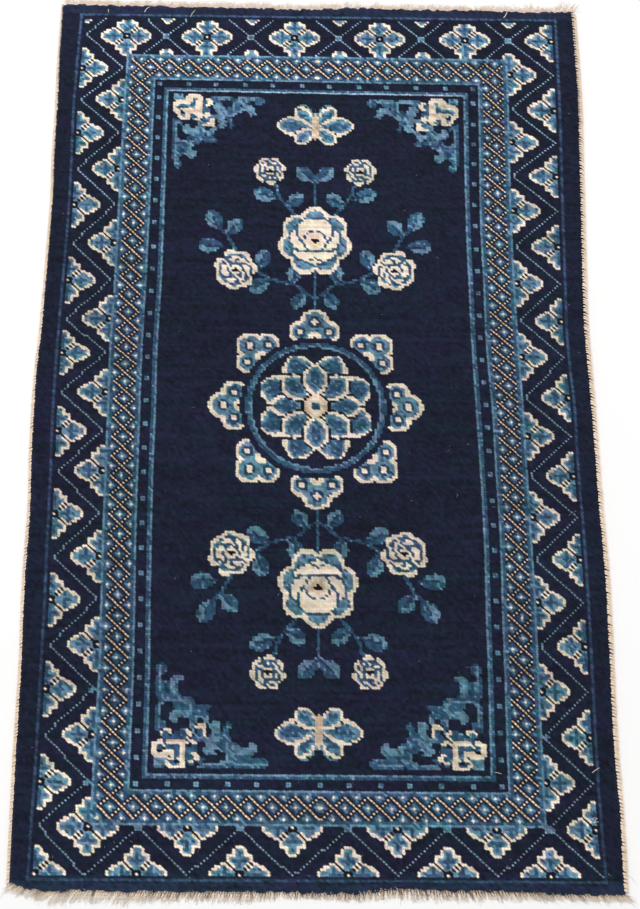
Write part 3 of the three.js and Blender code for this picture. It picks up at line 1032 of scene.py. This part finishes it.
def makePile():
    plan = pilePlan
    rows, columns = chartShape
    pile, over, down, low = addKnotGrid("wool_pile_face")
    putYarns(pile.data, over, down, low, *knotTones())
    x, y = placeKnots(*pointPlaces(over, down))
    atLeft, atRight, atHead, atFoot = over == 0, over == columns + 1, down == 0, down == rows + 1
    onSide, onEnd = atLeft | atRight, atHead | atFoot
    lump = plan["lumps"] * random.normal(size=(rows + 2, columns + 2))[down, over]
    swell = plan["swell"] * np.pad(patches(14, 14), 1, mode="edge")[down, over]
    black = np.pad(tiedIn("K"), 1)[down, over]
    z = plan["top"] + np.clip(lump + swell, *plan["lumpLimits"]) - plan["blackDrop"] * black
    z = np.where(onSide | onEnd, plan["rim"] + 2 * lump, z)
    z = np.where(low, plan["foot"], z)
    drift = random.normal(size=(2, rows + 2, columns + 2))[:, down, over]
    drift = np.clip(drift, -plan["driftLimit"], plan["driftLimit"])
    drift *= np.where(onSide | onEnd, 0.0, plan["drift"])
    together, tuftReach = plan["rimTufts"]
    tufts = np.repeat(random.normal(size=columns // together + 2), together)[:columns + 2]
    together, smooth, coarse = plan["rimRough"]
    rough = np.repeat(random.uniform(smooth, coarse, columns // together + 2), together)[:columns + 2]
    ragged = (random.normal(size=columns + 2) + tuftReach * tufts) * rough
    rim = plan["rimDrift"] * ragged[over]
    outwards = np.where(atHead, 1, -1)
    y += drift[1] + np.where(onEnd & ~onSide, np.clip(rim, *plan["rimLimits"]) * outwards, 0)
    x += drift[0]
    spread = plan["spread"]
    x += spread["right"] * atRight - spread["left"] * atLeft
    y += spread["head"] * atHead - spread["foot"] * atFoot
    finish = woolFinish("navy_wool_pile", plan)
    return finishKnots(pile, (over, down, low), (x, y, z), finish, "knotted_pile")


tieFrames()
tieLattice()
tieDots()
tieZigzags()
tieBorderFlowers()
tieFieldDesign()
tieSpandrels()
swellDots()
tieStrayBlues()
print("knots tied")
pile = makePile()


# The underside: the backs of the same knots, flat, with the cotton weft showing between the rows.
backPlan = dict(
    pilePlan, face=0.3, edge=1.5, inset=1.4, beads=0.12, beadLimit=0.2, toneShare=0.3,
    ridge=0.72, notch=0.0, level=0.9, shadow=(104, 92, 82), fray=0.4, blueFray=0.8, bump=(0.5, 0.5),
)


def makeBack():
    plan = backPlan
    rows, columns = chartShape
    back, over, down, low = addKnotGrid("wool_pile_back")
    tone, hue = knotTones()
    tone = (1 - plan["toneShare"]) + plan["toneShare"] * tone
    putYarns(back.data, over, down, low, tone, hue)
    x, y = placeKnots(*pointPlaces(over, down))
    x -= plan["inset"] * ((over == columns + 1) * 1.0 - (over == 0))
    y -= plan["inset"] * ((down == 0) * 1.0 - (down == rows + 1))
    bead = plan["beads"] * random.normal(size=(rows + 2, columns + 2))[down, over]
    bead = np.clip(bead, -plan["beadLimit"], plan["beadLimit"])
    z = np.where(low, plan["edge"], plan["face"] + bead)
    return finishKnots(back, (over, down, low), (x, y, z), woolFinish("navy_wool_back", plan))


back = makeBack()


# Each side edge is overcast: cotton yarn goes round and round it, biting into the pile.
edgePlans = {
    "selvedge_left": {
        "column": 1, "outwards": -1, "shift": 2.7, "height": 4.6, "seed": 5,
        "width": (4.1, 2.6, 1.0),  # at the foot, near the head and at the head
        "bite": ((0.3, 1.1), (1.8, 3.4)),  # least and most reach inwards, at the foot and the head
    },
    "selvedge_right": {
        "column": 2, "outwards": 1, "shift": 3.9, "height": 5.2, "seed": 6,
        "width": (3.6, 3.3, 3.3),
        "bite": ((1.9, 3.1), (3.6, 5.4)),
    },
}
stitchPlan = {
    "count": 330, "around": 18, "section": 5, "halfWidth": 2.3, "halfDepth": 0.7, "slant": 1.0,
    "tube": 0.25,  # thickness of a stitch before it is laid
    "wornRun": 12,  # stitches that are worn alike
    "widthVaries": 0.07, "heightVaries": 0.05, "stepVaries": 0.22, "thickVaries": 0.12,
    "headWidth": (0.75, 0.4),  # a stitch's inner end beside the rest, at the foot and the head
    "outline": (0.8, 0.4),  # the lower, the squarer, across and up
    "climb": (1.0, 3.4, 1.1),  # up onto the pile: from here inwards, how far, how steeply
    "toneVaries": (0.28, 0.12),  # by single stitches, and by worn runs
    "footTone": 0.88,
    "overhang": 1.5,  # how far the end stitches stand past the solid
    "cotton": ((246, 228, 212), (236, 216, 190), (190, 162, 134), 3.0, 1.1),
}


def repeatPiece(piece, count, offset):
    modifier = piece.modifiers.new("repeat", "ARRAY")
    modifier.count = count
    modifier.use_relative_offset = False
    modifier.use_constant_offset = True
    modifier.constant_offset_displace = offset
    selectOnly(piece)
    bpy.ops.object.modifier_apply(modifier=modifier.name)


# Every copy's map goes to its own cell of one square.
def spreadMap(mesh, copies):
    layer = mesh.uv_layers[0]
    layer.name = "OFBake"
    places = readValues(layer.data, "uv", 2)
    across = math.ceil(math.sqrt(copies))
    number = np.arange(len(places)) // (len(places) // copies)
    cell = np.stack((number % across, number // across), 1)
    writeValues(layer.data, "uv", (cell + 0.04 + 0.92 * places) / across)


cottonPlan = {
    "patchNoise": (55.0, 2.0, 0.6),  # scale, detail, roughness
    "fibreNoise": (1400.0, 3.0, 0.7),
    "patchShare": (0.28, 2.2),  # where patches of the second shade begin, and how sharply
    "shadows": (0.22, 0.8),  # between the plies, and from the tone of the strand
    "fibreShade": (0.85, 0.35),
    "tips": (1.2, 2.2),  # where along a strand its bleached tip begins, and over how much
    "bleached": (255, 250, 243),
    "bump": (0.5, 0.5),  # strength, and depth in mm
}


# Each cotton has two shades, a shadow, turns of its ply, a level, and a share of bleach at its tips.
def cottonFinish(name, first, second, shadow, plyTurns, level, bleach=0.0):
    plan = cottonPlan
    material, surface, wire = newFinish(name)
    strand, tone = wire.attribute("strand"), wire.attribute("tone", "Fac")
    along, around = strand.parts()[:2]
    place = wire.make("ShaderNodeTexCoord", None, None, "Object")
    patch = wire.noise(place, *plan["patchNoise"])
    fibre = wire.noise(place, *plan["fibreNoise"])
    ply = (along * plyTurns + around).wave()
    start, sharpness = plan["patchShare"]
    colour = ((patch - start) * sharpness).blend(linear(*first, level), linear(*second, level))
    # Painted shade between the plies, together with the strand's tone, which holds its wear and, on the
    # fringes, painted shade too.
    wearAndShade = (1 - ply) * plan["shadows"][0] + (1 - tone) * plan["shadows"][1]
    colour = wearAndShade.blend(colour, linear(*shadow, level))
    if bleach:
        tip = ((along - plan["tips"][0]) / plan["tips"][1]).clamped()
        colour = (tip * bleach).blend(colour, linear(*plan["bleached"]))
    colour = colour.scaled(plan["fibreShade"][0] + plan["fibreShade"][1] * fibre)
    relief = wire.bump(ply + 0.5 * fibre, plan["bump"][0], plan["bump"][1] * millimetre)
    setSockets(
        surface,
        {"Base Color": colour, "Roughness": 0.7 + 0.25 * fibre, "Normal": relief},
        {"Specular IOR Level": 0.25, "Sheen Weight": 0.1},
    )
    return material


def finishStrands(piece, along, around, number, tone, finish, slot, *nodes):
    strand = np.stack((along, around / math.tau, number), 1)
    putAttribute(piece.data, "strand", "FLOAT_VECTOR", strand)
    putAttribute(piece.data, "tone", "FLOAT", tone)
    faceOutwards(piece)
    bpy.ops.object.shade_smooth()
    return dress(piece, finish, slot, *nodes)


def makeEdge(name, plan, finish):
    low, high = corners(name)
    stitch, random = stitchPlan, np.random.default_rng(plan["seed"])
    count, tube, halfWidth, halfDepth = (stitch[key] for key in ("count", "tube", "halfWidth", "halfDepth"))
    deselectAll()
    bpy.ops.mesh.primitive_torus_add(
        major_segments=stitch["around"], minor_segments=stitch["section"],
        major_radius=1.0, minor_radius=tube, location=(0, 0, 0),
    )
    piece = bpy.context.object
    piece.name = piece.data.name = name + "_stitches"
    repeatPiece(piece, count, (0, 0, 1))
    spreadMap(piece.data, count)
    places = readVertices(piece.data)
    number = np.round(places[:, 2]).astype(int)
    turn = np.arctan2(places[:, 1], places[:, 0])  # 0 is the outer side, a quarter turn is the top
    depth = (np.hypot(places[:, 0], places[:, 1]) - 1) / tube
    side = (places[:, 2] - number) / tube
    spots = np.arange(0, count + stitch["wornRun"], stitch["wornRun"])
    wearAndShade = np.interp(np.arange(count), spots, random.normal(size=len(spots)))
    place = np.arange(count) / (count - 1)
    shallow, deep = (np.interp(place, (0, 1), ends) for ends in zip(*plan["bite"]))
    bite = shallow + (deep - shallow) * random.random(count) + 0.25 * wearAndShade
    bite = np.maximum(bite, 0.05)[number]
    width = np.interp(number, (0, 0.9 * count, count - 1), plan["width"]) - halfDepth
    width *= 1 + stitch["widthVaries"] * random.normal(size=count)[number]
    height = plan["height"] - 2 * halfDepth
    height = height * (1 + stitch["heightVaries"] * random.normal(size=count)[number])
    middle, halfSpan = (width - bite) / 2, (width + bite) / 2

    def loopAt(angle):
        c, s = np.cos(angle), np.sin(angle)
        over = middle + halfSpan * np.sign(c) * np.abs(c) ** stitch["outline"][0]
        lift = np.sign(s) * np.abs(s) ** stitch["outline"][1]
        start, most, slope = stitch["climb"]
        rise = np.clip(start - over, 0, most) * slope * np.clip(lift, 0, 1)
        return over, halfDepth + height / 2 * (1 + lift) + rise

    over, up = loopAt(turn)
    ahead, back = loopAt(turn + 0.02), loopAt(turn - 0.02)
    run = np.hypot(ahead[0] - back[0], ahead[1] - back[1])
    over = over + depth * halfDepth * (ahead[1] - back[1]) / run
    up = up - depth * halfDepth * (ahead[0] - back[0]) / run
    steps = np.cumsum(np.clip(1 + stitch["stepVaries"] * random.normal(size=count), 0.65, 1.3))
    room = high[1] - low[1] - 2 * halfWidth
    middleY = low[1] + halfWidth + room * (steps - steps[0]) / (steps[-1] - steps[0])
    thick = 1 + stitch["thickVaries"] * random.normal(size=count)[number]
    headWidth = np.interp(place, (0, 1), stitch["headWidth"])[number]
    thick *= 1 - (1 - headWidth) * np.clip((-0.1 - over) / 1.2, 0, 1)
    y = middleY[number] + side * halfWidth * thick - stitch["slant"] * np.cos(turn)
    y = np.clip(y, low[1] - stitch["overhang"], high[1] + stitch["overhang"])
    edge = readTable(sideRows, y - frameShift[1], plan["column"]) + frameShift[0]
    x = edge + plan["outwards"] * (over + plan["shift"])
    moveVertices(piece.data, np.stack((x, y, np.maximum(up, 0.1)), 1))
    single, together = stitch["toneVaries"]
    tone = 1 - single * random.random(count)[number] ** 2 - together * np.clip(wearAndShade, 0, 2)[number]
    tone *= np.interp(number, (0, count - 1), (stitch["footTone"], 1))
    tone *= np.interp(over, (-2.0, 0.6), (1.1, 0.92))
    along, around = turn / math.tau + 0.5, np.arctan2(depth, side)
    return finishStrands(piece, along, around, number, tone, finish, "cotton_overcast", name)


overcast = cottonFinish("overcast_cotton", *stitchPlan["cotton"])
edges = [makeEdge(name, plan, overcast) for name, plan in edgePlans.items()]


# The fringes: every warp end crosses the web and frays into a few fine yarns.
fringePlans = {
    "fringe_head": {
        "end": headRows, "outwards": 1, "seed": 11,
        "spread": 1.15, "underSpread": 2.0,  # mm from an end's middle to its upper and lower yarns
        "sway": 5, "stray": 17,  # degrees that whole ends, and single yarns, vary
        "inset": 1.5,  # how far they begin under the pile
        "shade": ((0, 1), (0.15, 0.15)),  # share across, and the painted shade on the lower yarns
        "cotton": ((252, 234, 222), (246, 224, 204), (236, 216, 196), 1.0, 1.36, 0.4),
        "lay": np.array((  # share across, lean in degrees, reach
            (0, -16, 11.5), (0.1, 10, 11), (0.3, 30, 12.5), (0.45, 22, 12.5), (0.62, 36, 13),
            (0.8, 16, 11), (0.93, 28, 14), (1, 40, 16),
        )),
    },
    "fringe_foot": {
        "end": footRows, "outwards": -1, "seed": 12, "spread": 0.38, "underSpread": 1.7,
        "sway": 3, "stray": 2.5, "inset": 3.6,
        "shade": ((0, 0.5, 0.72, 1), (0.8, 1.0, 1.5, 1.4)),
        "cotton": ((255, 244, 226), (248, 232, 206), (130, 100, 72), 1.0, 1.64, 0.7),
        "lay": np.array((
            (0, -42, 13), (0.08, -33, 14.5), (0.14, -26, 15), (0.22, -18, 13.5), (0.3, -12, 10),
            (0.37, -8, 12.5), (0.46, 6, 7), (0.54, 12, 8.5), (0.62, 14, 12), (0.7, 20, 12),
            (0.78, 32, 12), (0.86, 42, 11.5), (0.93, 46, 12.5), (1, 50, 15),
        )),
    },
}
warpPlan = {
    "ends": 209, "yarns": 10, "sides": 3, "steps": 6, "root": 0.38, "tip": 0.14,
    "web": 1.2,  # mm that are still woven
    "webLean": 0.8,
    "lower": 5,  # of the yarns of each end, how many lie below in shade
    "margin": 2.5,  # from the solid's sides to the first and last end
    "endReachVaries": 0.14, "yarnReachVaries": 0.16, "endToneVaries": 0.28, "yarnToneVaries": 0.16,
    "curl": 0.09,
    "height": 1.1,  # at the web
    "turns": 1.5,  # of the yarns round each other
    "plyLength": 4.0,  # mm for one turn of the ply
}


# Straight strands in a row, to be laid out: the strand's number, the two places round it, and
# the share of its length.
def addStrands(name, count, sides, steps):
    deselectAll()
    bpy.ops.mesh.primitive_cone_add(
        vertices=sides, radius1=1.0, radius2=1.0, depth=1.0, location=(0, 0, 0.5), enter_editmode=True
    )
    piece = bpy.context.object
    piece.name = piece.data.name = name
    bpy.ops.mesh.select_mode(type="EDGE")
    bpy.ops.mesh.select_all(action="DESELECT")
    bpy.ops.object.mode_set(mode="OBJECT")
    for edge in piece.data.edges:
        first, second = (piece.data.vertices[k].co.z for k in edge.vertices)
        edge.select = abs(first - second) > 0.5
    bpy.ops.object.mode_set(mode="EDIT")
    bpy.ops.mesh.subdivide(number_cuts=steps - 1)
    bpy.ops.object.mode_set(mode="OBJECT")
    bpy.ops.object.transform_apply(location=True, rotation=True, scale=True)
    pitch = 4
    repeatPiece(piece, count, (pitch, 0, 0))
    spreadMap(piece.data, count)
    places = readVertices(piece.data)
    number = np.round(places[:, 0] / pitch).astype(int)
    return piece, number, places[:, 0] - pitch * number, places[:, 1], places[:, 2]


def makeFringe(name, plan):
    low, high = corners(name)
    warp, random = warpPlan, np.random.default_rng(plan["seed"])
    ends, yarns, web, margin = (warp[key] for key in ("ends", "yarns", "web", "margin"))
    strands = addStrands(name + "_ends", ends * yarns, warp["sides"], warp["steps"])
    piece, number, side, rise, share = strands
    end, yarn = number // yarns, number % yarns
    each = random.normal(size=(6, ends * yarns))[:, number]
    both = random.normal(size=(4, ends))[:, end]
    along = (end + 0.5) / ends
    x = low[0] + margin + along * (high[0] - low[0] - 2 * margin) + 0.35 * both[0]
    lean = np.radians(readTable(plan["lay"], along, 1) + plan["sway"] * both[1] + plan["stray"] * each[0])
    varies = 1 + warp["endReachVaries"] * both[2] + warp["yarnReachVaries"] * each[1]
    reach = readTable(plan["lay"], along, 2) * varies
    travel = share * (web + reach + plan["inset"]) - plan["inset"]
    free = np.clip(travel - web, 0, None)
    curl = warp["curl"] * each[2] * free**1.5 / 3
    bound, webLean = np.minimum(travel, web), lean * warp["webLean"]
    over = bound * np.sin(webLean) + free * np.sin(lean) + curl * np.cos(lean)
    out = bound * np.cos(webLean) + free * np.cos(lean) - curl * np.sin(lean)
    arch = np.sin(math.pi * np.clip(free / np.maximum(reach, 1), 0, 1))
    under = yarn < warp["lower"]
    height = warp["height"] + np.clip(0.32 * each[3] + 0.25, -0.5, 1.2) * arch * ~under
    height = height - 0.55 * np.clip(free / 10, 0, 1) + (0.1 * yarn - 0.3) * np.clip(1 - free / 9, 0, 1)
    spread = np.where(under, plan["underSpread"], plan["spread"])
    spin = math.tau * (yarn / yarns + warp["turns"] * share)
    radius = warp["root"] + (warp["tip"] - warp["root"]) * np.clip(share * 1.05, 0, 1) ** 1.4
    x = x + over + spread * np.cos(spin) + radius * side * np.cos(lean)
    edge = readTable(plan["end"], np.clip(x, low[0], high[0]) - frameShift[0], 1) + frameShift[1]
    y = edge + plan["outwards"] * (out + 0.3) + radius * side * np.sin(-lean) * plan["outwards"]
    z = np.maximum(height + 0.5 * spread * np.sin(spin), 0.12 + radius) + radius * rise
    moveVertices(piece.data, np.stack((x, y, z), 1))
    tone = 1.1 - warp["endToneVaries"] * np.abs(both[3]) ** 1.3
    tone = tone - warp["yarnToneVaries"] * np.abs(each[4])
    # painted shade at the root, beside the pile
    tone = tone - 0.1 * np.clip(1 - travel / 3, 0, 1)
    # painted shade on the lower yarns, fading along them
    tone = tone - np.interp(along, *plan["shade"]) * under * np.clip(1 - travel / 14, 0, 1)
    finish = cottonFinish(name + "_cotton", *plan["cotton"])
    run, around = travel / warp["plyLength"], np.arctan2(rise, side)
    return finishStrands(piece, run, around, number, tone, finish, "cotton_warp", name)


fringes = [makeFringe(name, plan) for name, plan in fringePlans.items()]


# Loose threads: lint on the pile, warp ends that lie over it, and fine ends past the corners.
strayPlan = {
    "seed": 23,
    "threads": (  # x and y of both ends, bow, height, radius, tone
        (346.7, -477.8, 356.4, -471.7, 0.5, 8.7, 0.42, 1.0),
        (343.2, -534.3, 350.1, -533.1, 1.2, 8.7, 0.36, 0.9),
        (350.1, -533.1, 346.2, -540.0, -1.6, 8.9, 0.34, 0.9),
        (344.2, -538.9, 351.7, -537.3, 0.8, 8.8, 0.42, 1.0),
        (224.5, -477.5, 233.2, -479.6, 0.4, 8.7, 0.38, 0.9),
        (-252.6, 610.5, -243.4, 620.1, 1.6, 9.0, 0.6, 0.9),
        (-184.8, 602.5, -177.7, 614.2, 0.8, 9.0, 0.5, 0.9),
        (275.1, 600.8, 280.4, 612.0, -0.9, 9.0, 0.7, 0.95),
        (-306.2, 615.4, -305.9, 609.6, 0.3, 8.8, 0.5, 0.9),
        (379.8, -598.6, 395.4, -611.6, 2.5, 0.5, 0.13, 0.2),
        (381.1, -623.3, 393.7, -638.5, -2.0, 0.5, 0.14, 0.2),
        (-379.5, -610.6, -386.6, -617.6, 1.5, 0.6, 0.2, 0.5),
        (-379.4, -618.6, -388.3, -629.3, -1.5, 0.5, 0.16, 0.4),
        (380.8, 616.4, 390.2, 628.6, 2.0, 0.6, 0.2, 0.6),
    ),
    "lint": 150,
    "lintX": 365,  # from the middle to either side
    "lintY": (-615, -480, 600),  # the foot, where it lies thicker, its end, and the head
    "lintAtFoot": 0.45,
    "lintLength": (1.5, 5.5),
    "lintRadius": (0.08, 0.17),
    "lintTone": (0.3, 0.8),
    "lintHeight": 8.45,
    "curls": 90,  # short warp ends that stand up over the foot edge of the pile
    "curlPlaces": ((-330, 0.5), (-150, 0.4), (20, 0.8), (60, 2.5), (190, 1.0), (300, 0.3)),  # x, share
    "curlScatter": 45,
    "curlReach": (1.0, 3.6),
    "curlRadius": (0.14, 0.3),
    "curlTone": (0.6, 1.0),
    "curlHeight": (3.5, 5.3),  # where they begin, and their climb
    "cotton": ((236, 232, 230), (232, 216, 186), (120, 116, 124), 1.0, 1.1),
}


def makeStrays():
    plan, random = strayPlan, np.random.default_rng(strayPlan["seed"])
    lint, curls = plan["lint"], plan["curls"]
    x = random.uniform(-plan["lintX"], plan["lintX"], lint)
    foot, thinner, head = plan["lintY"]
    atFoot = random.random(lint) < plan["lintAtFoot"]
    y = np.where(atFoot, random.uniform(foot, thinner, lint), random.uniform(thinner, head, lint))
    turn, length = random.uniform(0, math.tau, lint), random.uniform(*plan["lintLength"], lint)
    bow, fine = random.normal(size=lint), random.uniform(*plan["lintRadius"], lint)
    loose = np.stack((
        x, y, x + length * np.cos(turn), y + length * np.sin(turn), bow,
        np.full(lint, plan["lintHeight"]), fine, random.uniform(*plan["lintTone"], lint),
    ), 1)
    places, weights = np.array(plan["curlPlaces"]).T
    x = random.choice(places, curls, p=weights / weights.sum())
    x = np.clip(x + random.normal(0, plan["curlScatter"], curls), -370, 370)
    y = readTable(footRows, x, 1) - 1.6
    tall = random.uniform(*plan["curlReach"], curls)
    start, climb = plan["curlHeight"]
    upright = np.stack((
        x, y, x + random.normal(0, 1.6, curls), y + tall, random.normal(size=curls) * 0.7,
        np.full(curls, start), random.uniform(*plan["curlRadius"], curls),
        random.uniform(*plan["curlTone"], curls),
    ), 1)
    upright[:, :4] += np.tile(frameShift, 2)
    threads = np.concatenate((np.array(plan["threads"]), loose, upright))
    piece, number, side, rise, share = addStrands("loose_threads", len(threads), 4, 7)
    startX, startY, endX, endY, bow, height, radius, tone = threads[number].T
    alongX, alongY = endX - startX, endY - startY
    length = np.hypot(alongX, alongY)
    alongX, alongY = alongX / length, alongY / length
    arch = bow * np.sin(math.pi * share) + 0.4 * radius * np.sin(3 * math.tau * share)
    radius = radius * (1 - 0.6 * share**3)
    x = startX + alongX * length * share - alongY * (arch + radius * side)
    y = startY + alongY * length * share + alongX * (arch + radius * side)
    climb = np.where(number >= len(threads) - curls, climb * np.sqrt(share), 0)
    z = height + climb + 0.3 * np.sin(math.pi * share) + radius * rise
    moveVertices(piece.data, np.stack((x, y, np.maximum(z, 0.1)), 1))
    finish = cottonFinish("loose_cotton", *plan["cotton"])
    run, around = length * share / warpPlan["plyLength"], np.arctan2(rise, side)
    return finishStrands(piece, run, around, number, tone, finish, "cotton_warp")


strays = makeStrays()


# A pale floor and soft studio light.
stagePlan = {
    "floorSize": 12, "floor": 0.95, "sky": 0.72,
    "lamp": 46.0, "lampSize": 3.4, "lampPlace": (-0.4, 0.7, 2.9),
}


def makeStage():
    plan = stagePlan
    deselectAll()
    bpy.ops.mesh.primitive_plane_add(size=plan["floorSize"], location=(0, 0, 0))
    floor = bpy.context.object
    floor.name = "floor"
    material, surface = newFinish("pale_floor")[:2]
    setSockets(surface, {}, {
        "Base Color": (plan["floor"],) * 3 + (1,), "Roughness": 1.0, "Specular IOR Level": 0.0,
    })
    floor.data.materials.append(material)
    world = bpy.context.scene.world or bpy.data.worlds.new("studio")
    bpy.context.scene.world = world
    world.use_nodes = True
    background = world.node_tree.nodes["Background"]
    background.inputs["Color"].default_value = (1, 1, 1, 1)
    background.inputs["Strength"].default_value = plan["sky"]
    bpy.ops.object.light_add(type="AREA", location=plan["lampPlace"])
    lamp = bpy.context.object
    lamp.data.size = plan["lampSize"]
    lamp.data.energy = plan["lamp"]
    x, y, z = plan["lampPlace"]
    lamp.rotation_euler = (math.atan2(-y, z), math.atan2(x, math.hypot(y, z)), 0)
    print("stage set")


makeStage()


edges + fringes + [back, strays]
